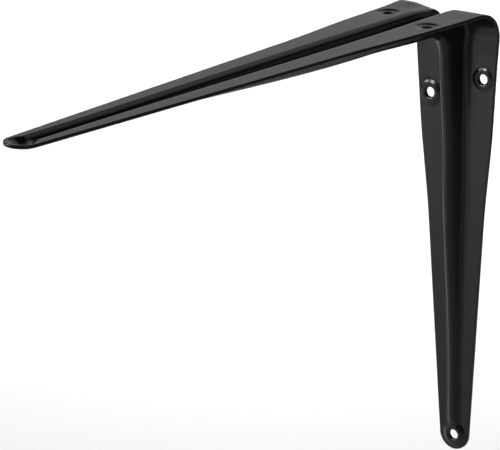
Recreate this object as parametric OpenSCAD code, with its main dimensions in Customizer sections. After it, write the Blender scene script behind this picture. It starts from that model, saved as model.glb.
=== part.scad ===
// Shelf bracket pressed from one sheet of steel. Two tapered arms meet at a right angle. A stiffening
// rib runs along both arms and round the corner, and runs out into a dish at each tip.
// The wall lies against x = 0 and the shelf on z = 0, and y runs across the sheet.

/* [Arms] */
// Length of the arm under the shelf, measured from the wall
shelf_length = 280; // [220:1:360]
// Length of the arm on the wall, measured from the shelf
wall_length = 200; // [170:1:280]
// Width of the sheet at the corner
corner_width = 45; // [43:0.5:56]
// Width of the round tips
tip_width = 15.2; // [14.6:0.2:20]
// How much wider than a straight taper the sheet is beside the corner
swell = 2.8; // [0:0.1:4]
// Distance from the corner where the swell starts to fade
swell_start = 51; // [46:1:60]
// Distance from the corner where the swell has faded
swell_end = 97; // [80:1:110]

/* [Sheet] */
// Thickness of the sheet
sheet = 1.5; // [1.2:0.1:2]
// Outer radius of the bend between the arms
bend_radius = 13.5; // [10:0.5:17]

/* [Rib] */
// Depth of the rib at the corner, from the outer face of the sheet
rib_corner_depth = 11.4; // [10.5:0.1:12.5]
// Depth of the rib where the shelf arm leaves the corner
shelf_rib_depth = 10.2; // [9:0.1:10.8]
// Depth of the rib where the wall arm leaves the corner
wall_rib_depth = 8.8; // [8:0.1:10]
// Depth of the rib at the tips
rib_tip_depth = 4; // [3.6:0.1:4.4]
// Radius of the rib's crest on the inside of the bracket
rib_crest = 2.8; // [2.5:0.1:3.2]
// Radius along which the crest turns the inside corner
rib_fillet = 10; // [7:0.5:14]
// Steepest slope of the rib's walls along the arms, in degrees
wall_angle = 70; // [64:1:74]
// Steepest slope of the rib's walls at the corner, in degrees
corner_wall_angle = 75; // [68:1:78]
// Radius between the flange and the rib along the arms
shoulder = 2.5; // [2:0.1:3.5]
// Radius between the flange and the rib at the corner
corner_shoulder = 1.7; // [1.5:0.1:2.5]
// Slope at which the flange is drawn down to the rib at the corner, in degrees
draw_angle = 3; // [2:0.5:6]

/* [Holes] */
// Diameter of the screw holes
hole_d = 4.3; // [3.6:0.1:5]
// Distance from the corner to the nearer flange hole of each arm
near_hole = 31; // [28:0.5:34]
// Distance from the corner to the farther flange hole of each arm
far_hole = 41; // [38:0.5:46]
// Distance of the flange holes from the line of the tip holes
hole_offset = 13.9; // [13.4:0.1:14.4]
// Distance of that line from the middle of the sheet
hole_shift = 0.4; // [0:0.1:0.6]
// Distance of the tip holes from the end of the arm
tip_hole = 7; // [6.6:0.1:8]
// Depth of the pressed collars round the flange holes
collar_depth = 0.4; // [0.35:0.05:0.6]
// Radius of the flat floor of those collars
collar_floor = 3.7; // [3.3:0.1:4]
// Slope of the sides of those collars, in degrees
collar_angle = 27; // [22:1:28]
// Depth of the dishes round the tip holes
dish_depth = 1.2; // [1.2:0.05:1.4]
// Radius of the flat floor of the dishes
dish_floor = 3.4; // [3.2:0.1:3.6]
// Slope of the sides of the dishes, in degrees
dish_angle = 45; // [40:1:45]

/* [Hidden] */
$fn = 96;

// Shares of each arm's length between which the rib grows shallow
SHELF_TAPER = [0.24, 0.86];
WALL_TAPER = [0.36, 0.84];
// Distance from the corner where the rib has taken the shape that it has along the arms
CORNER_END = 66;
// Distances from the tip hole between which the rib falls to the depth of the dish
RIB_RUN_OUT = [9, 2.5];
// Radius and least slope of the soft lead from the flange into the rib's shoulder
LEAD_RADIUS = 30;
LEAD_ANGLE = 1.2;
// Length over which the rib is closed, inside the dish
RIB_END = 1;
// Inner radius of the edge of a pressed collar, the same for a dish, and outer radius round their floors
COLLAR_LIP = 0.8;
DISH_LIP = 2;
COLLAR_FILLET = 0.5;
// Angle at which a collar's skirt cuts the face of the flange, and how far it runs past that face
SKIRT_ANGLE = 10;
SKIRT = 0.04;
// Room that the cutting solids take beyond the sheet, and length of the drills
CLEAR = 2;
DRILL = 12;
// Numbers of steps in the curves of the sheet
LEAD_STEPS = 2;
SHOULDER_STEPS = 5;
CREST_STEPS = 4;
CORNER_STEPS = 14;
ARM_STEPS = 16;
RUN_OUT_STEPS = 6;
TIP_STEPS = 8;
COLLAR_STEPS = 6;
// Angle round the tip at which the last slice of the sheet is taken
TIP_START = 9;

half_corner = corner_width / 2;
half_tip = tip_width / 2;
// Centre about which the slices of the corner turn, as a distance from the wall and from the shelf
turn = rib_fillet + rib_corner_depth;
// Each arm as [length, depth of the rib past the corner, shares of the length where it grows shallow]
shelf_form = [shelf_length, shelf_rib_depth, SHELF_TAPER];
wall_form = [wall_length, wall_rib_depth, WALL_TAPER];

function smooth(x) = let(c = min(1, max(0, x))) c * c * (3 - 2 * c);
function mix(a, b, share) = a + (b - a) * share;
function steps(from, to, count) = [for (i = [0:count]) mix(from, to, i / count)];

// 1 at the corner, and 0 where the arms have left it
function corner_share(s) = 1 - smooth((s - turn) / (CORNER_END - turn));
function swell_share(s) = 1 - smooth((s - swell_start) / (swell_end - swell_start));

// Half the width of the sheet at a distance from the corner, on an arm of a given form
function half_width(s, form) =
    let(run = form[0] - half_tip)
    half_tip + (half_corner - swell / 2 - half_tip) * (1 - s / run) + swell / 2 * swell_share(s);

// Depth of the rib at a distance from the corner, from the outer face of the sheet
function depth(s, form) =
    let(length = form[0],
        neck = form[1],
        fade = form[2],
        taper = smooth((s / length - fade[0]) / (fade[1] - fade[0])),
        to_hole = length - tip_hole - s,
        run_out = smooth((RIB_RUN_OUT[0] - to_hole) / (RIB_RUN_OUT[0] - RIB_RUN_OUT[1])))
    mix(mix(neck, rib_tip_depth, taper), sheet + dish_depth, run_out)
        + (rib_corner_depth - neck) * corner_share(s);

// Half of a slice across the sheet, from its edge to the middle of the rib, as [across, depth] points.
// off is the distance of the face from the inner face: 0 for the inner face, skin for the outer one.
function half_slice(half, depth, skin, radius, steepest, lead, off) =
    let(lead_drop = LEAD_RADIUS * (1 - cos(lead)),
        flat = (lead_drop + radius * cos(lead) + rib_crest + skin - depth) / (radius + rib_crest),
        angle = min(steepest, acos(flat)),
        curved = lead_drop + radius * (cos(lead) - cos(angle)) + rib_crest * (1 - cos(angle)),
        straight = (depth - skin - curved) / sin(angle),
        lead_y = LEAD_RADIUS * sin(lead) + radius * (sin(angle) - sin(lead))
            + straight * cos(angle) + rib_crest * sin(angle),
        lead_centre = [lead_y, skin + LEAD_RADIUS],
        shoulder_centre = lead_centre - (LEAD_RADIUS - radius) * [sin(lead), cos(lead)],
        crest_centre = [0, depth - rib_crest])
    concat(
        [[half, skin - off]],
        [for (i = [0:LEAD_STEPS - 1]) let(a = lead * i / LEAD_STEPS)
            lead_centre - (LEAD_RADIUS + off) * [sin(a), cos(a)]],
        [for (a = steps(lead, angle, SHOULDER_STEPS)) shoulder_centre - (radius + off) * [sin(a), cos(a)]],
        [for (a = steps(angle, 0, CREST_STEPS)) crest_centre + (rib_crest - off) * [sin(a), cos(a)]]);

// The whole slice, from one edge of the sheet to the other
function both_halves(points) =
    concat(points, [for (i = [len(points) - 2:-1:0]) [-points[i].x, points[i].y]]);

// A slice is [outer points, inner points], both as [across, depth]
function slice(half, depth, skin, radius, steepest, lead) =
    [for (off = [skin, 0]) both_halves(half_slice(half, depth, skin, radius, steepest, lead, off))];

function arm_slice(s, form) =
    let(share = corner_share(s))
    slice(half_width(s, form), depth(s, form), sheet, mix(shoulder, corner_shoulder, share),
        mix(wall_angle, corner_wall_angle, share), mix(LEAD_ANGLE, draw_angle, share));

// The round tip is flat. Its points keep the spacing of the last slice that has the rib.
function tip_slice(half, like) =
    let(full = like[0][0].x)
    [[for (p = like[0]) [p.x * half / full, 0]], [for (p = like[1]) [p.x * half / full, sheet]]];

// Slices of one arm as [distance from the corner, slice], from the corner to the tip
function arm(form) =
    let(length = form[0],
        hole = length - tip_hole,
        fall = hole - RIB_RUN_OUT[0],
        last = arm_slice(hole, form),
        round_start = length - half_tip,
        tip_angles = steps(90, TIP_START, TIP_STEPS))
    concat(
        [for (i = [0:ARM_STEPS - 1]) let(s = mix(turn, fall, i / ARM_STEPS)) [s, arm_slice(s, form)]],
        [for (s = steps(fall, hole, RUN_OUT_STEPS)) [s, arm_slice(s, form)]],
        [for (a = tip_angles)
            let(s = round_start + half_tip * cos(a))
            if (s >= hole + RIB_END) [s, tip_slice(half_tip * sin(a), last)]]);

// Distance from the turning centre of the corner to the flange, off below its outer face
function flange_reach(angle, off) =
    let(a = min(angle, 90 - angle),
        straight = (turn - off) / cos(a),
        gap = turn - bend_radius,
        along = gap * (sin(a) + cos(a)))
    turn - straight * sin(a) >= bend_radius
        ? straight
        : along + sqrt(along ^ 2 - 2 * gap ^ 2 + (bend_radius - off) ^ 2);

function corner_slice(angle) =
    let(outer = flange_reach(angle, 0),
        nearest = max(turn - outer * sin(angle), turn - outer * cos(angle)),
        form = angle < 45 ? shelf_form : wall_form)
    slice(half_width(nearest, form), outer - rib_fillet, outer - flange_reach(angle, sheet),
        corner_shoulder, corner_wall_angle, draw_angle);

// Slices stand in space: on the shelf arm, in the corner and on the wall arm
function on_shelf(s, points) = [for (p = points) [s, p.x, -p.y]];
function on_wall(s, points) = [for (p = points) [p.y, p.x, -s]];
function on_corner(angle, points) =
    let(reach = flange_reach(angle, 0))
    [for (p = points) [turn - (reach - p.y) * sin(angle), p.x, (reach - p.y) * cos(angle) - turn]];

shelf_arm = arm(shelf_form);
wall_arm = arm(wall_form);
corner_angles = [for (i = [1:CORNER_STEPS - 1]) 90 * i / CORNER_STEPS];

// Every slice of the sheet in order, each as [outer points, inner points]
slices = concat(
    [for (i = [len(shelf_arm) - 1:-1:0]) [for (face = shelf_arm[i][1]) on_shelf(shelf_arm[i][0], face)]],
    [for (a = corner_angles) [for (face = corner_slice(a)) on_corner(a, face)]],
    [for (cut = wall_arm) [for (face = cut[1]) on_wall(cut[0], face)]]);

// The folded sheet with its rib, before the holes are pressed
module ribbed_sheet() {
    across = len(slices[0][0]);
    ring = 2 * across;
    last = len(slices) - 1;
    points = [for (cut = slices) each concat(cut[0], cut[1])];
    outer = [for (k = [0:last - 1], i = [0:across - 2])
        let(p = k * ring + i) [p, p + 1, p + ring + 1, p + ring]];
    inner = [for (k = [0:last - 1], i = [0:across - 2])
        let(p = k * ring + across + i) [p, p + ring, p + ring + 1, p + 1]];
    edges = [for (k = [0:last - 1])
        let(p = k * ring, q = p + across - 1)
        each [[p, p + ring, p + ring + across, p + across], [q, q + across, q + ring + across, q + ring]]];
    ends = [for (i = [0:across - 2])
        let(q = last * ring + i)
        each [[i, i + across, i + across + 1, i + 1], [q, q + 1, q + across + 1, q + across]]];
    polyhedron(points, concat(outer, inner, edges, ends));
}

// One face of a pressed collar, from its middle to its skirt, as [radius, depth] points.
// off is the distance of the face from the inner face, as in half_slice.
function collar_face(depth, floor_r, angle, lip_r, off) =
    let(round_r = COLLAR_FILLET + sheet,
        straight = (depth - (round_r + lip_r) * (1 - cos(angle))) / sin(angle),
        base_r = floor_r + (round_r + lip_r) * sin(angle) + straight * cos(angle),
        floor_centre = [floor_r, depth - COLLAR_FILLET],
        lip_centre = [base_r, sheet + lip_r],
        lip = [for (a = steps(angle, SKIRT_ANGLE, COLLAR_STEPS))
            lip_centre - (lip_r + off) * [sin(a), cos(a)]],
        foot = lip[COLLAR_STEPS],
        drop = foot.y - (sheet - off) + SKIRT)
    concat(
        [[0, depth + sheet - off]],
        [for (a = steps(0, angle, COLLAR_STEPS)) floor_centre + (round_r - off) * [sin(a), cos(a)]],
        lip,
        [foot + [drop / tan(SKIRT_ANGLE), -drop]]);

// The solid that a collar adds inside the bracket
module collar_boss(depth, floor_r, angle, lip_r) {
    face = collar_face(depth, floor_r, angle, lip_r, 0);
    rotate_extrude() polygon(concat(face, [[face[len(face) - 1].x, sheet / 2], [0, sheet / 2]]));
}

// The hollow that it leaves in the outer face
module collar_hollow(depth, floor_r, angle, lip_r) {
    face = collar_face(depth, floor_r, angle, lip_r, sheet);
    rotate_extrude() polygon(concat(face, [[face[len(face) - 1].x, -CLEAR], [0, -CLEAR]]));
}

// Places on the arms, with the depth of the sheet along the children's own z
module on_wall_arm(s, y) translate([0, y, -s]) rotate([0, 90, 0]) children();
module on_shelf_arm(s, y) translate([s, y, 0]) rotate([180, 0, 0]) children();

// The flange holes are staggered, the other way round on the other arm
module at_flange_holes() {
    on_wall_arm(near_hole, hole_shift + hole_offset) children();
    on_wall_arm(far_hole, hole_shift - hole_offset) children();
    on_shelf_arm(far_hole, hole_shift + hole_offset) children();
    on_shelf_arm(near_hole, hole_shift - hole_offset) children();
}

module at_tip_holes() {
    on_wall_arm(wall_length - tip_hole, hole_shift) children();
    on_shelf_arm(shelf_length - tip_hole, hole_shift) children();
}

module bore() translate([0, 0, -CLEAR]) cylinder(d = hole_d, h = DRILL);

module bracket() color("#1c1c1d") difference() {
    union() {
        ribbed_sheet();
        at_flange_holes() collar_boss(collar_depth, collar_floor, collar_angle, COLLAR_LIP);
        at_tip_holes() collar_boss(dish_depth, dish_floor, dish_angle, DISH_LIP);
    }
    at_flange_holes() collar_hollow(collar_depth, collar_floor, collar_angle, COLLAR_LIP);
    at_tip_holes() collar_hollow(dish_depth, dish_floor, dish_angle, DISH_LIP);
    at_flange_holes() bore();
    at_tip_holes() bore();
}

bracket();
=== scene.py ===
"""The pressed steel shelf bracket as it looks: its sheet as one fine smooth mesh, painted satin black."""

import math

import bpy
import numpy as np
from mathutils import Matrix, Vector


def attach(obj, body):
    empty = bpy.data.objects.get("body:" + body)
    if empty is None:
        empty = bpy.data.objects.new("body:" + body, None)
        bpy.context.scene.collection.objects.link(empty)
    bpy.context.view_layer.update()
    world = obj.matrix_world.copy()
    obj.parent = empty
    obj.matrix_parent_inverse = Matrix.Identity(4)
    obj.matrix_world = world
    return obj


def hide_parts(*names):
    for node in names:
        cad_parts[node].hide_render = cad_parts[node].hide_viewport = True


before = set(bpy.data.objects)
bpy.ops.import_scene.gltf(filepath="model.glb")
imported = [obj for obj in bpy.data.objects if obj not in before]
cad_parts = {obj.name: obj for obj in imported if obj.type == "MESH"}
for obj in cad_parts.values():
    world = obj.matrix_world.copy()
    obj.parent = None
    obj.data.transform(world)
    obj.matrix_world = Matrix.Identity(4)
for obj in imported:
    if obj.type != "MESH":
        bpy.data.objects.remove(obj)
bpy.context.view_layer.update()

MM = 0.001

# Sizes of the sheet in millimetres and degrees, as in the CAD model
SHELF_LENGTH = 280.0
WALL_LENGTH = 200.0
HALF_CORNER = 22.5
HALF_TIP = 7.6
SWELL = 2.8
SWELL_SPAN = (51.0, 97.0)
SHEET = 1.5
BEND_RADIUS = 13.5
RIB_CORNER_DEPTH = 11.4
SHELF_RIB_DEPTH = 10.2
WALL_RIB_DEPTH = 8.8
RIB_TIP_DEPTH = 4.0
RIB_CREST = 2.8
RIB_FILLET = 10.0
WALL_ANGLE = 70.0
CORNER_WALL_ANGLE = 75.0
SHOULDER = 2.5
CORNER_SHOULDER = 1.7
LEAD_RADIUS = 30.0
LEAD_ANGLE = 1.2
DRAW_ANGLE = 3.0
SHELF_TAPER = (0.24, 0.86)
WALL_TAPER = (0.36, 0.84)
CORNER_END = 66.0
RIB_RUN_OUT = (9.0, 2.5)
HOLE_RADIUS = 2.15
NEAR_HOLE = 31.0
FAR_HOLE = 41.0
HOLE_OFFSET = 13.9
HOLE_SHIFT = 0.4
TIP_HOLE = 7.0
DISH_DEPTH = 1.2
TURN = RIB_FILLET + RIB_CORNER_DEPTH

# Radius of the soft edges of the sheet, and the number of faces round half of an edge
EDGE_RADIUS = 0.3
EDGE_STEPS = 5
# Width and depth of a hole's rims: a wide flared one on the inner face and a small one on the outer face
INNER_RIM = (1.3, 0.7)
OUTER_RIM = (0.25, 0.25)
# Radius and width of the ring that the punch leaves in a sharp collar
RING_MIDDLE = 4.1
RING_WIDTH = 0.4
# Radius of the outermost ring of vertices round a hole, and that inside which the grid is cut away
RING_RADIUS = 3.55
CUT_RADIUS = 3.7
# Sharpness of the change where one pressing runs into another
MERGE_POWER = 4.0
# Height that the rib's crest falls to where it ends in the dish, as a share of the dish's depth
RIB_LEFT = 0.8

# How far the flanges are drawn in at the corner, at their edge and beside the rib, on the -Y and +Y sides
FAR_DRAW = (-0.42, 1.0)
NEAR_DRAW = (-0.35, -0.2)
# Distances from the middle between which that changes, and from the corner between which it fades
DRAW_SPAN = (18.0, 6.0)
DRAW_REACH = (6.0, 27.0)

# Numbers of columns in half of a slice: on the flange, on the lead into the rib and on the rib
FLANGE_COLUMNS = 23
LEAD_COLUMNS = 3
RIB_COLUMNS = 19
# Width of the narrow column of faces beside the edge
EDGE_STRIP = 0.1
# How much closer together the columns are on the rib's curves than on its straight walls
CURVE_DENSITY = 3.0
# Spacing of the slices: beside the flange holes, along the arms and at the tips
HOLE_STEP = 0.6
ARM_STEP = 2.5
TIP_STEP = 0.55
CORNER_ROWS = 40
TIP_ROWS = 14
HOLE_ZONE_END = 52.0
TIP_ZONE = 24.0
# Distance from the tip hole over which the columns become evenly spaced
EVEN_SPAN = (16.0, 10.0)

# The paint. Scales are repeats in a metre, depths are in metres.
PAINT_DARK = (0.0055, 0.0055, 0.0058, 1)
PAINT_LIGHT = (0.0078, 0.0078, 0.0082, 1)
PAINT_SPECULAR = 0.35
PAINT_ROUGHNESS = (0.19, 0.24)
NOISE_SPAN = (0.3, 0.7)
CLOUD_SCALE = 120
GLOSS_SCALE = 500
PEEL_SCALE = 450
PEEL_DEPTH = 0.00002
TOOTH_SCALE = 2500
TOOTH_DEPTH = 0.000006
GRAIN_SCALE = 300
GRAIN_SHARE = 0.05
GRAIN_DEPTH = 0.00003

# The studio, in metres. The lamps stand round a point in the middle of the bracket.
FLOOR_HEIGHT = -0.32
FLOOR_SIZE = 8.0
FLOOR_COLOUR = (0.85, 0.85, 0.85, 1)
FLOOR_ROUGHNESS = 0.9
WORLD_COLOUR = (0.035, 0.035, 0.035, 1)
LIT_POINT = Vector((0.1, 0, -0.06))
LAMP_DISTANCE = 1.6

# The camera: its focal length and the picture's width in pixels, and the width of its sensor in millimetres
FOCAL_PIXELS = 4067.9
PICTURE_WIDTH = 500
SENSOR_WIDTH = 36.0


def smooth(x):
    c = np.clip(x, 0.0, 1.0)
    return c * c * (3.0 - 2.0 * c)


def mix(a, b, share):
    return a + (b - a) * share


def larger(a, b):
    """The larger of two heights, with a rounded change from one to the other."""
    return (a**MERGE_POWER + b**MERGE_POWER) ** (1.0 / MERGE_POWER)


def smaller(a, b):
    """The smaller of two heights, with a rounded change from one to the other."""
    return a * b / larger(a, b)


class Bulge:
    """A round pressing about a hole, with a floor that may slope or have a ring, and a soft edge.

    The floor reaches out to one radius and the foot of the edge to another. The slope is along the arm.
    """

    def __init__(self, depth, floor, foot, ring_depth=0.0, slope=0.0):
        self.depth = depth
        self.floor = floor
        self.foot = foot
        self.ring_depth = ring_depth
        self.slope = slope

    def height(self, along, across):
        r = np.hypot(along, across)
        ring = self.ring_depth * np.exp(-(((r - RING_MIDDLE) / RING_WIDTH) ** 2))
        edge = 1.0 - smooth((r - self.floor) / (self.foot - self.floor))
        return (self.depth - ring - self.slope * along) * edge


class Arm:
    """One arm of the bracket. Places on it are a distance from the corner, one across and a depth.

    place turns them into points, and sense is 1 or -1, the way round in which its holes' loops run.
    Each hole has a distance from the corner, one across and a Bulge.
    """

    def __init__(self, length, rib_depth, taper, place, sense, holes):
        self.length = length
        self.rib_depth = rib_depth
        self.taper = taper
        self.place = place
        self.sense = sense
        self.holes = holes
        self.tip_hole = length - TIP_HOLE

    def half_width(self, s):
        share = 1.0 - smooth((s - SWELL_SPAN[0]) / (SWELL_SPAN[1] - SWELL_SPAN[0]))
        straight = (HALF_CORNER - SWELL / 2 - HALF_TIP) * (1.0 - s / (self.length - HALF_TIP))
        return HALF_TIP + straight + SWELL / 2 * share

    def depth(self, s):
        fall = smooth((s / self.length - self.taper[0]) / (self.taper[1] - self.taper[0]))
        along = mix(self.rib_depth, RIB_TIP_DEPTH, fall)
        return along + (RIB_CORNER_DEPTH - self.rib_depth) * corner_share(s)

    def slices(self, s):
        share = corner_share(s)
        return Slices(
            half=self.half_width(s),
            depth=self.depth(s),
            skin=np.full_like(s, SHEET),
            radius=mix(SHOULDER, CORNER_SHOULDER, share),
            steepest=np.radians(mix(WALL_ANGLE, CORNER_WALL_ANGLE, share)),
            lead=np.radians(mix(LEAD_ANGLE, DRAW_ANGLE, share)),
        )

    def pressed(self, s, y, depth):
        """The depth of the inner face once the collars and the dish are pressed into it."""
        height = depth - SHEET
        run_out = smooth((RIB_RUN_OUT[0] - self.tip_hole + s) / (RIB_RUN_OUT[0] - RIB_RUN_OUT[1]))
        height = mix(height, smaller(height, RIB_LEFT * DISH_DEPTH), run_out)
        for hole_s, hole_y, bulge in self.holes:
            height = larger(height, bulge.height(s - hole_s, y - hole_y))
        return SHEET + height

    def face(self, s, y):
        """The depth of the inner face at any places on the flanges or the tip."""
        ribbed = self.slices(np.minimum(s, self.tip_hole).ravel()).height(y.reshape(-1, 1))
        ribbed = np.where(s > self.tip_hole, SHEET, ribbed.reshape(y.shape))
        return self.pressed(s, y, ribbed)


def corner_share(s):
    """1 at the corner, and 0 where the arms have left it."""
    return 1.0 - smooth((s - TURN) / (CORNER_END - TURN))


def corner_draw(s, y):
    """How far the flange lies inside its plane near the corner."""
    beside_rib = smooth((np.abs(y) - DRAW_SPAN[0]) / (DRAW_SPAN[1] - DRAW_SPAN[0]))
    drawn = np.where(y < 0, mix(*FAR_DRAW, beside_rib), mix(*NEAR_DRAW, beside_rib))
    on_flange = smooth(np.abs(y) / DRAW_SPAN[1])
    return drawn * on_flange * (1.0 - smooth((s - DRAW_REACH[0]) / (DRAW_REACH[1] - DRAW_REACH[0])))


def column(values):
    """Values as a column, to go with a table of places across."""
    return values[:, None]


class Slices:
    """Slices across the sheet with its rib. Each value holds one number for every slice.

    half is half the width, depth the rib's depth, skin the sheet's thickness, radius that of the shoulder,
    steepest the limit of the wall's angle, and lead the angle at which the lead meets the shoulder.
    """

    def __init__(self, half, depth, skin, radius, steepest, lead):
        self.half, self.depth, self.skin, self.radius, self.lead = half, depth, skin, radius, lead
        lead_drop = LEAD_RADIUS * (1 - np.cos(lead))
        flat = (lead_drop + radius * np.cos(lead) + RIB_CREST + skin - depth) / (radius + RIB_CREST)
        self.angle = np.minimum(steepest, np.arccos(np.clip(flat, -1, 1)))
        curved = lead_drop + radius * (np.cos(lead) - np.cos(self.angle))
        curved = curved + RIB_CREST * (1 - np.cos(self.angle))
        straight = (depth - skin - curved) / np.sin(self.angle)
        self.crest_y = RIB_CREST * np.sin(self.angle)
        self.wall_y = self.crest_y + straight * np.cos(self.angle)
        self.shoulder_y = self.wall_y + radius * (np.sin(self.angle) - np.sin(lead))
        self.lead_y = self.shoulder_y + LEAD_RADIUS * np.sin(lead)

    def columns(self):
        """Places across, from one edge of the sheet to the other, closer together where it curves."""
        def span(a, b, count):
            return column(a) + column(b - a) * np.arange(count) / count

        # Columns on the rib, spread over its shoulder, wall and crest
        angle, radius, lead = column(self.angle), column(self.radius), column(self.lead)
        turn = CURVE_DENSITY * self.radius * (self.angle - self.lead)
        wall_end = turn + (self.wall_y - self.crest_y) / np.cos(self.angle)
        spread = span(0 * turn, wall_end + CURVE_DENSITY * RIB_CREST * self.angle, RIB_COLUMNS)
        in_turn = np.minimum(spread / (CURVE_DENSITY * radius) + lead, angle)
        rib = column(self.shoulder_y + self.radius * np.sin(self.lead)) - radius * np.sin(in_turn)
        on_wall_part = column(self.wall_y) - (spread - column(turn)) * np.cos(angle)
        rib = np.where(spread > column(turn), on_wall_part, rib)
        on_crest = angle - (spread - column(wall_end)) / (CURVE_DENSITY * RIB_CREST)
        rib = np.where(spread > column(wall_end), RIB_CREST * np.sin(on_crest), rib)
        lead_angles = span(0 * self.lead, self.lead, LEAD_COLUMNS)
        edge = self.half - EDGE_RADIUS
        half = np.concatenate([
            column(edge),
            span(edge - EDGE_STRIP, self.lead_y, FLANGE_COLUMNS),
            column(self.lead_y) - LEAD_RADIUS * np.sin(lead_angles),
            rib,
        ], axis=1)
        return np.concatenate([half, 0 * half[:, :1], -half[:, ::-1]], axis=1)

    def height(self, y):
        """Depth of the inner face at places across, with a row for every slice."""
        y = np.abs(y)
        crest = column(self.depth) - RIB_CREST + np.sqrt(np.maximum(RIB_CREST**2 - y**2, 0))
        wall_top = column(self.depth - RIB_CREST * (1 - np.cos(self.angle)))
        wall = wall_top - (y - column(self.crest_y)) * np.tan(column(self.angle))
        in_lead = np.clip(column(self.lead_y) - y, 0, LEAD_RADIUS)
        lead = column(self.skin) + LEAD_RADIUS - np.sqrt(LEAD_RADIUS**2 - in_lead**2)
        middle_d = self.skin + LEAD_RADIUS - (LEAD_RADIUS - self.radius) * np.cos(self.lead)
        middle_y = self.shoulder_y + self.radius * np.sin(self.lead)
        in_round = np.clip(column(middle_y) - y, 0, column(self.radius))
        shoulder = column(middle_d) - np.sqrt(column(self.radius) ** 2 - in_round**2)
        depth = np.where(y < column(self.shoulder_y), shoulder, lead)
        depth = np.where(y < column(self.wall_y), wall, depth)
        return np.where(y < column(self.crest_y), crest, depth)


def on_shelf(s, y, depth):
    return np.stack([s, y, -depth], axis=-1)


def on_wall(s, y, depth):
    return np.stack([depth, y, -s], axis=-1)


def spaced(start, end, step):
    """Even places from start up to but without end, about a step apart."""
    count = max(1, round((end - start) / step))
    return start + (end - start) * np.arange(count) / count


def arm_grid(arm):
    """Places (distance, across, depth) of the inner face of an arm, from the corner to the tip."""
    round_start = arm.length - HALF_TIP
    s = np.concatenate([
        spaced(TURN, HOLE_ZONE_END, HOLE_STEP),
        spaced(HOLE_ZONE_END, arm.length - TIP_ZONE, ARM_STEP),
        spaced(arm.length - TIP_ZONE, round_start, TIP_STEP),
    ])
    cuts = arm.slices(s)
    y = cuts.columns()
    columns = y.shape[1]
    even = np.linspace(1, -1, columns)
    share = smooth((EVEN_SPAN[0] - arm.tip_hole + s) / (EVEN_SPAN[0] - EVEN_SPAN[1]))
    y = mix(y, even * column(cuts.half - EDGE_RADIUS), column(share))
    along = np.broadcast_to(column(s), y.shape)
    depth = arm.pressed(along, y, cuts.height(y)) + corner_draw(along, y)
    # The round tip: a square grid drawn out to half a disc
    v = column(np.linspace(0, 1, TIP_ROWS + 1))
    disc = HALF_TIP - EDGE_RADIUS
    tip_s = round_start + disc * v * np.sqrt(1 - even**2 / 2)
    tip_y = disc * even * np.sqrt(1 - v**2 / 2)
    depth = np.concatenate([depth, arm.face(tip_s, tip_y)])
    return np.concatenate([along, tip_s]), np.concatenate([y, tip_y]), depth


def flange_reach(angle, off):
    """Distance from the turning centre of the corner to the flange, off below its outer face."""
    a = np.minimum(angle, math.pi / 2 - angle)
    straight = (TURN - off) / np.cos(a)
    gap = TURN - BEND_RADIUS
    along = gap * (np.sin(a) + np.cos(a))
    bent = along + np.sqrt(np.maximum(along**2 - 2 * gap**2 + (BEND_RADIUS - off) ** 2, 0))
    return np.where(TURN - straight * np.sin(a) >= BEND_RADIUS, straight, bent)


def corner_grid():
    """Points of the inner face round the corner, from the shelf arm to the wall arm."""
    angle = math.pi / 2 * np.arange(1, CORNER_ROWS) / CORNER_ROWS
    outer = flange_reach(angle, 0.0)
    skin = outer - flange_reach(angle, SHEET)
    nearest = np.maximum(TURN - outer * np.sin(angle), TURN - outer * np.cos(angle))
    half = np.where(angle < math.pi / 4, shelf.half_width(nearest), wall.half_width(nearest))
    same = np.ones_like(angle)
    cuts = Slices(
        half=half,
        depth=outer - RIB_FILLET,
        skin=skin,
        radius=CORNER_SHOULDER * same,
        steepest=math.radians(CORNER_WALL_ANGLE) * same,
        lead=math.radians(DRAW_ANGLE) * same,
    )
    y = cuts.columns()
    reach = column(outer) - cuts.height(y) - corner_draw(column(nearest), y)
    x = TURN - reach * column(np.sin(angle))
    z = reach * column(np.cos(angle)) - TURN
    return np.stack([x, y, z], axis=-1)


def unit(vectors):
    return vectors / np.linalg.norm(vectors, axis=-1, keepdims=True)


class Skin:
    """Vertices with their normals, and faces, of the mesh that is being built."""

    def __init__(self):
        self.points, self.normals, self.faces = [], [], []
        self.count = 0

    def add(self, points, normals):
        self.points.append(points.reshape(-1, 3))
        self.normals.append(normals.reshape(-1, 3))
        ids = self.count + np.arange(points.size // 3).reshape(points.shape[:-1])
        self.count += ids.size
        return ids

    def strip(self, first, second):
        """Quads between two closed loops of vertices."""
        nxt, far = np.roll(first, -1), np.roll(second, -1)
        self.faces.append(np.stack([first, nxt, far, second], axis=-1))


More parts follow.
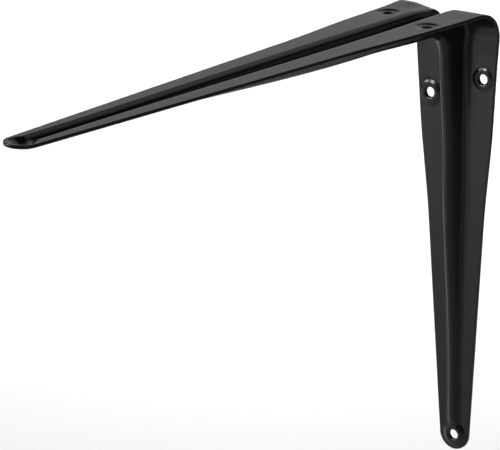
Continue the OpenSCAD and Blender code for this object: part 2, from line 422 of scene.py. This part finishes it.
def build_sheet():
    """The whole bracket as one closed mesh."""
    skin = Skin()
    grids = {arm: arm_grid(arm) for arm in (shelf, wall)}
    inner = np.concatenate([
        shelf.place(*grids[shelf])[::-1],
        corner_grid(),
        wall.place(*grids[wall]),
    ])
    rows, columns = inner.shape[:2]
    normals = unit(np.cross(np.gradient(inner, axis=1), np.gradient(inner, axis=0)))
    outer = inner - SHEET * normals
    inner_ids = skin.add(inner, normals)
    outer_ids = skin.add(outer, -normals)

    # Which quads stay, once the holes are cut out
    kept = np.ones((rows - 1, columns - 1), dtype=bool)
    for arm in (shelf, wall):
        s, y, _ = grids[arm]
        arm_rows = np.arange(len(s))[::-1] if arm is shelf else np.arange(rows - len(s), rows)
        for hole_s, hole_y, bulge in arm.holes:
            r = np.full((rows, columns), np.inf)
            r[arm_rows] = np.hypot(s - hole_s, y - hole_y)
            angle = np.zeros((rows, columns))
            angle[arm_rows] = np.arctan2(y - hole_y, s - hole_s)
            cut_hole(skin, arm, (hole_s, hole_y), bulge.slope, r, angle, kept, inner_ids, outer_ids)

    for ids, order in ((inner_ids, (0, 1, 2, 3)), (outer_ids, (3, 2, 1, 0))):
        quads = np.stack([ids[:-1, :-1], ids[:-1, 1:], ids[1:, 1:], ids[1:, :-1]], axis=-1)
        skin.faces.append(quads[kept][:, order])
    round_edge(skin, inner, normals, inner_ids, outer_ids)
    return skin


def cut_hole(skin, arm, centre, slope, r, angle, kept, inner_ids, outer_ids):
    """Takes the quads at a hole out of the grid and closes the gap with rings down to a round bore."""
    near = r < CUT_RADIUS
    gone = near[:-1, :-1] | near[:-1, 1:] | near[1:, 1:] | near[1:, :-1]
    kept &= ~gone
    # The loop of vertices round the gap: those that touch both a quad that is gone and one that stays
    touch = np.zeros(r.shape, dtype=int)
    for dk in (0, 1):
        for dj in (0, 1):
            touch[dk:touch.shape[0] - 1 + dk, dj:touch.shape[1] - 1 + dj] += gone
    loop = np.argwhere((touch > 0) & (touch < 4))
    turn = angle[loop[:, 0], loop[:, 1]]
    order = np.argsort(turn)[::arm.sense]
    loop, turn = loop[order], turn[order]
    k, j = loop[:, 0], loop[:, 1]

    def ring(radius, drop, tilt):
        """A loop of vertices at a radius and a depth below the inner face, with tilted normals."""
        flat = np.stack([np.cos(turn), np.sin(turn)], axis=-1)
        s = centre[0] + radius * flat[:, 0]
        y = centre[1] + radius * flat[:, 1]
        inward = arm.place(-flat[:, 0], -flat[:, 1], np.zeros_like(turn))
        up = unit(arm.place(np.full_like(turn, slope), 0 * turn, np.ones_like(turn)))
        place = arm.place(s, y, arm.face(s, y)) - drop * up
        return skin.add(place, math.cos(tilt) * up + math.sin(tilt) * inward)

    quarter = np.linspace(0, math.pi / 2, EDGE_STEPS + 1)
    rims = [(RING_RADIUS, 0.0, 0.0)]
    for (width, depth), middle, turns in (
        (INNER_RIM, INNER_RIM[1], quarter),
        (OUTER_RIM, SHEET - OUTER_RIM[1], quarter + math.pi / 2),
    ):
        for way in turns:
            radius = HOLE_RADIUS + width * (1 - math.sin(way))
            drop = middle - depth * math.cos(way)
            tilt = math.atan2(depth * math.sin(way), width * math.cos(way))
            rims.append((radius, drop, tilt))
    rims.append((RING_RADIUS, SHEET, math.pi))
    loops = [inner_ids[k, j]] + [ring(*rim) for rim in rims] + [outer_ids[k, j]]
    for first, second in zip(loops, loops[1:]):
        skin.strip(first, second)


def round_edge(skin, inner, normals, inner_ids, outer_ids):
    """Closes the sheet all round with a softly rounded edge."""
    rows, columns = inner.shape[:2]
    k = np.concatenate([np.arange(rows - 1), np.full(columns - 1, rows - 1),
                        np.arange(rows - 1, 0, -1), np.zeros(columns - 1, dtype=int)])
    j = np.concatenate([np.zeros(rows - 1, dtype=int), np.arange(columns - 1),
                        np.full(rows - 1, columns - 1), np.arange(columns - 1, 0, -1)])
    base, up = inner[k, j], normals[k, j]
    along = np.roll(base, -1, axis=0) - np.roll(base, 1, axis=0)
    out = unit(np.cross(up, along))
    loops = [inner_ids[k, j]]
    for tilt in np.concatenate([np.linspace(0, math.pi / 2, EDGE_STEPS + 1)[1:],
                                np.linspace(math.pi / 2, math.pi, EDGE_STEPS + 1)[:-1]]):
        drop = EDGE_RADIUS if len(loops) <= EDGE_STEPS else SHEET - EDGE_RADIUS
        face = math.cos(tilt) * up + math.sin(tilt) * out
        loops.append(skin.add(base - drop * up + EDGE_RADIUS * face, face))
    loops.append(outer_ids[k, j])
    for first, second in zip(loops, loops[1:]):
        skin.strip(first, second)


def make_piece(skin, name):
    """An object of the mesh, without the vertices that the holes leave loose."""
    mesh = bpy.data.meshes.new(name)
    points = np.concatenate(skin.points) * MM
    normals = np.concatenate(skin.normals)
    faces = np.concatenate(skin.faces)
    used = np.unique(faces)
    place = np.zeros(len(points), dtype=int)
    place[used] = np.arange(len(used))
    mesh.from_pydata(points[used].tolist(), [], place[faces].tolist())
    mesh.shade_smooth()
    mesh.normals_split_custom_set_from_vertices(normals[used].tolist())
    piece = bpy.data.objects.new(name, mesh)
    bpy.context.collection.objects.link(piece)
    return piece


def paint_material():
    """Satin black paint: a fine orange peel, a gloss that changes a little and sparse grains in the coat."""
    material = bpy.data.materials.new("satin_black_paint")
    material.use_nodes = True
    tree = material.node_tree
    shader = tree.nodes["Principled BSDF"]
    shader.inputs["Specular IOR Level"].default_value = PAINT_SPECULAR
    place = tree.nodes.new("ShaderNodeTexCoord").outputs["Object"]

    def noise(scale, detail):
        node = tree.nodes.new("ShaderNodeTexNoise")
        node.inputs["Scale"].default_value = scale
        node.inputs["Detail"].default_value = detail
        tree.links.new(place, node.inputs["Vector"])
        return node.outputs["Fac"]

    def between(source, low, high):
        node = tree.nodes.new("ShaderNodeMapRange")
        node.inputs["From Min"].default_value, node.inputs["From Max"].default_value = NOISE_SPAN
        node.inputs["To Min"].default_value, node.inputs["To Max"].default_value = low, high
        tree.links.new(source, node.inputs["Value"])
        return node.outputs["Result"]

    def bumped(height, depth, before=None):
        node = tree.nodes.new("ShaderNodeBump")
        node.inputs["Distance"].default_value = depth
        tree.links.new(height, node.inputs["Height"])
        if before:
            tree.links.new(before, node.inputs["Normal"])
        return node.outputs["Normal"]

    grains = tree.nodes.new("ShaderNodeTexVoronoi")
    grains.inputs["Scale"].default_value = GRAIN_SCALE
    tree.links.new(place, grains.inputs["Vector"])
    nib = tree.nodes.new("ShaderNodeMapRange")
    nib.inputs["From Max"].default_value = GRAIN_SHARE
    nib.inputs["To Min"].default_value, nib.inputs["To Max"].default_value = 1, 0
    tree.links.new(grains.outputs["Distance"], nib.inputs["Value"])

    cloud = tree.nodes.new("ShaderNodeMix")
    cloud.data_type = "RGBA"
    cloud.inputs["A"].default_value, cloud.inputs["B"].default_value = PAINT_DARK, PAINT_LIGHT
    tree.links.new(between(noise(CLOUD_SCALE, detail=3), 0, 1), cloud.inputs["Factor"])
    tree.links.new(cloud.outputs["Result"], shader.inputs["Base Color"])

    tree.links.new(between(noise(GLOSS_SCALE, detail=4), *PAINT_ROUGHNESS), shader.inputs["Roughness"])
    peel = bumped(noise(PEEL_SCALE, detail=1), PEEL_DEPTH)
    tooth = bumped(noise(TOOTH_SCALE, detail=2), TOOTH_DEPTH, peel)
    tree.links.new(bumped(nib.outputs["Result"], GRAIN_DEPTH, tooth), shader.inputs["Normal"])
    return material


def area_light(name, place, target, size, power, spread=180):
    """A rectangular lamp that the camera doesn't see, with its spread in degrees."""
    light = bpy.data.lights.new(name, "AREA")
    light.shape = "RECTANGLE"
    light.size, light.size_y = size
    light.energy = power
    light.spread = math.radians(spread)
    lamp = bpy.data.objects.new(name, light)
    lamp.visible_camera = False
    lamp.location = place
    lamp.rotation_euler = (Vector(target) - Vector(place)).to_track_quat("-Z", "Y").to_euler()
    bpy.context.collection.objects.link(lamp)
    return lamp


def softbox(name, azimuth, elevation, power, size=(0.9, 0.7)):
    """A lamp that faces the middle of the bracket. Its azimuth goes from +X towards +Y, in degrees."""
    turn, rise = math.radians(azimuth), math.radians(elevation)
    way = Vector((math.cos(rise) * math.cos(turn), math.cos(rise) * math.sin(turn), math.sin(rise)))
    area_light(name, LIT_POINT + LAMP_DISTANCE * way, LIT_POINT, size, power)


# A sharp collar and a soft one on the wall arm, the dents of the shelf arm's collars, and the tips
collar = Bulge(depth=0.5, floor=3.9, foot=5.2, ring_depth=0.1)
soft_collar = Bulge(depth=0.65, floor=3.5, foot=6.4)
dent = Bulge(depth=0.5, floor=3.2, foot=6.0)
dish = Bulge(depth=DISH_DEPTH, floor=3.2, foot=6.6, slope=0.06)
shelf = Arm(
    length=SHELF_LENGTH,
    rib_depth=SHELF_RIB_DEPTH,
    taper=SHELF_TAPER,
    place=on_shelf,
    sense=-1,
    holes=[
        (FAR_HOLE, HOLE_SHIFT + HOLE_OFFSET, dent),
        (NEAR_HOLE, HOLE_SHIFT - HOLE_OFFSET, dent),
        (SHELF_LENGTH - TIP_HOLE, HOLE_SHIFT, dish),
    ],
)
wall = Arm(
    length=WALL_LENGTH,
    rib_depth=WALL_RIB_DEPTH,
    taper=WALL_TAPER,
    place=on_wall,
    sense=1,
    holes=[
        (NEAR_HOLE, HOLE_SHIFT + HOLE_OFFSET, collar),
        (FAR_HOLE, HOLE_SHIFT - HOLE_OFFSET, soft_collar),
        (WALL_LENGTH - TIP_HOLE, HOLE_SHIFT, dish),
    ],
)

bracket = make_piece(build_sheet(), "bracket_sheet")
bracket.data.materials.append(paint_material())
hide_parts("bracket")
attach(bracket, "root")

floor_mesh = bpy.data.meshes.new("floor")
h = FLOOR_SIZE / 2
floor_mesh.from_pydata([(-h, -h, 0), (h, -h, 0), (h, h, 0), (-h, h, 0)], [], [(0, 1, 2, 3)])
floor = bpy.data.objects.new("floor", floor_mesh)
floor.location.z = FLOOR_HEIGHT
bpy.context.collection.objects.link(floor)
floor_material = bpy.data.materials.new("pale_floor")
floor_material.use_nodes = True
floor_shader = floor_material.node_tree.nodes["Principled BSDF"]
floor_shader.inputs["Base Color"].default_value = FLOOR_COLOUR
floor_shader.inputs["Roughness"].default_value = FLOOR_ROUGHNESS
floor.data.materials.append(floor_material)

world = bpy.data.worlds.new("studio")
bpy.context.scene.world = world
world.use_nodes = True
world.node_tree.nodes["Background"].inputs["Color"].default_value = WORLD_COLOUR

# Soft boxes all round the bracket. Two narrow ones make the highlights over the collars.
softbox("left", azimuth=-60, elevation=8, power=1.2)
softbox("right", azimuth=60, elevation=8, power=1.6)
softbox("key_left", azimuth=-53, elevation=15, power=8.0, size=(0.12, 0.3))
softbox("key_right", azimuth=-29.5, elevation=15, power=7.0, size=(0.12, 0.3))
softbox("far_left", azimuth=-100, elevation=8, power=1.0)
softbox("back_left", azimuth=-140, elevation=14, power=0.92)
softbox("back", azimuth=190, elevation=38, power=0.9)
softbox("back_right", azimuth=150, elevation=18, power=0.35)
softbox("glint", azimuth=201, elevation=17, power=0.6, size=(0.2, 0.2))

# Lamps that light the floor round the bracket, and nothing else
floor_lamps = [
    area_light(
        "left_floor",
        place=(0.81, -0.67, 0.5),
        target=(0.81, -0.67, FLOOR_HEIGHT),
        size=(0.8, 0.8),
        power=1.1,
        spread=100,
    ),
    area_light(
        "right_floor",
        place=(0.5, 0.8, 0.5),
        target=(0.5, 0.8, FLOOR_HEIGHT),
        size=(0.8, 0.8),
        power=0.9,
        spread=100,
    ),
    area_light(
        "far_floor",
        place=(-0.83, -0.69, 0.9),
        target=(-0.90, -0.75, FLOOR_HEIGHT),
        size=(0.8, 1.9),
        power=7.2,
        spread=70,
    ),
]
floor_only = bpy.data.collections.new("floor_only")
floor_only.objects.link(floor)
for lamp in floor_lamps:
    lamp.light_linking.receiver_collection = floor_only

# The camera that was fitted to the photograph
camera_data = bpy.data.cameras.new("camera")
camera_data.sensor_width = SENSOR_WIDTH
camera_data.sensor_fit = "HORIZONTAL"
camera_data.lens = FOCAL_PIXELS / PICTURE_WIDTH * SENSOR_WIDTH
camera_data.clip_end = 50.0
camera = bpy.data.objects.new("camera", camera_data)
camera.matrix_world = Matrix((
    (-0.63444, -0.22904, 0.73826, 1.34702),
    (0.77293, -0.17727, 0.60923, 0.99622),
    (-0.00866, 0.95714, 0.28950, 0.40855),
    (0, 0, 0, 1),
))
bpy.context.collection.objects.link(camera)
bpy.context.scene.camera = camera
bpy.context.scene.view_settings.view_transform = "Standard"
